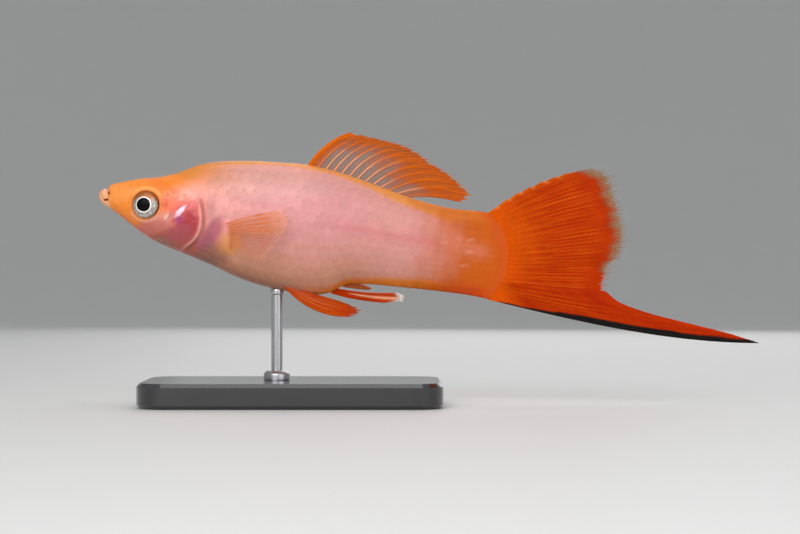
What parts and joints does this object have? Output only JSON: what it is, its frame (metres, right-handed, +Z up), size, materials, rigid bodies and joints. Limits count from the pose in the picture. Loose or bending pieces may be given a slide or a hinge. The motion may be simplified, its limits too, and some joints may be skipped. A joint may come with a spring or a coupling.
{
  "type": "swordtail fish model",
  "caption": "Still life-size model of a male aquarium swordtail fish, held level by a rod over a small flat display base.",
  "frame": {"origin": "on the floor under the middle of the whole length, from lips to sword tip, in the fish's middle plane", "axes": "+X from the snout towards the tail, +Y to the fish's right flank, +Z up"},
  "size_m": [0.1059, 0.026, 0.0436],
  "materials": {
    "orange_skin": "satiny painted fish skin, orange",
    "pink_skin": "satiny painted fish skin, pale pink",
    "gill": "glossy translucent gill cover, rose red",
    "eye": "wet glossy eye, silver iris and black pupil",
    "fin": "thin translucent fin, red-orange",
    "base": "polished black acrylic",
    "rod": "brushed steel"
  },
  "bodies": {
    "root": {"head": "orange_skin", "upper_lip": "orange_skin", "lower_jaw": "orange_skin", "gill_cover_left": "gill", "gill_cover_right": "gill", "eye_left": "eye", "eye_right": "eye", "torso": "pink_skin", "tail_stalk": "orange_skin", "dorsal_fin": "fin", "caudal_fin": "fin", "sword": "fin", "gonopodium": "fin", "pectoral_fin_left": "fin", "pectoral_fin_right": "fin", "pelvic_fin_left": "fin", "pelvic_fin_right": "fin", "stand_base": "base", "stand_rod": "rod"}
  },
  "joints": []
}
